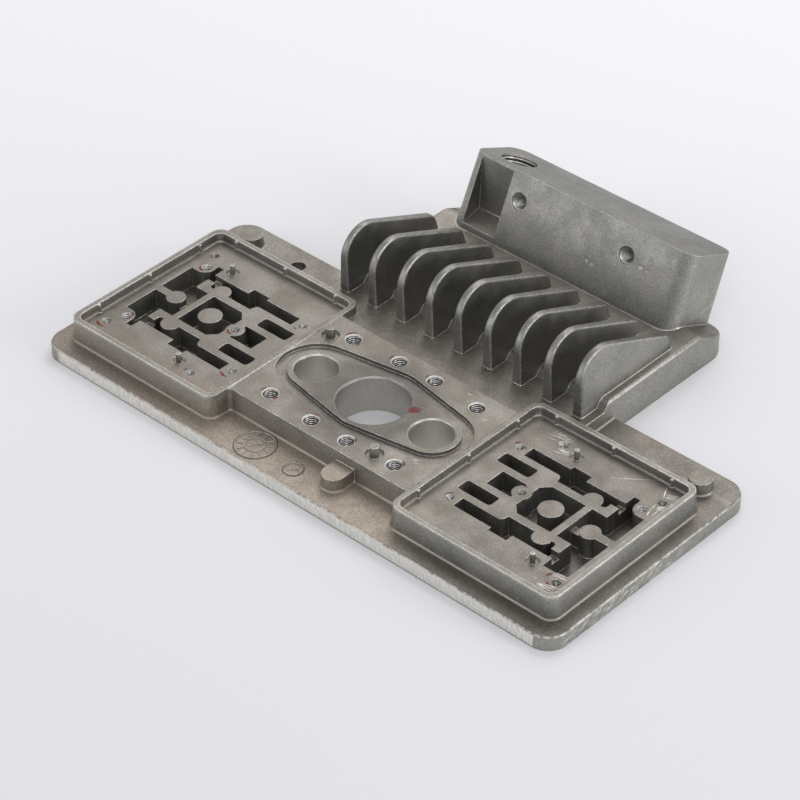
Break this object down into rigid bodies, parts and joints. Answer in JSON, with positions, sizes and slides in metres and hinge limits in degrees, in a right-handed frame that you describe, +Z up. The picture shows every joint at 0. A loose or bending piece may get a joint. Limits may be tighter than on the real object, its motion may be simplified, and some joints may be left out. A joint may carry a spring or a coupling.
{
  "type": "die cast housing",
  "caption": "Die cast aluminium housing: flanged base with two labyrinth pockets, a bored and grooved deck, a row of sloping cooling fins and a leaning block with a threaded port.",
  "frame": {"origin": "axis of the centre bore, at the machined top of the deck", "axes": "+X along the flange towards its right end, +Y from the deck towards the fins and the leaning block, +Z up out of the deck"},
  "size_m": [0.2292, 0.1732, 0.0398],
  "materials": {
    "cast_aluminium": "as cast, lightly blasted"
  },
  "bodies": {
    "root": {"housing": "cast_aluminium"}
  },
  "joints": []
}
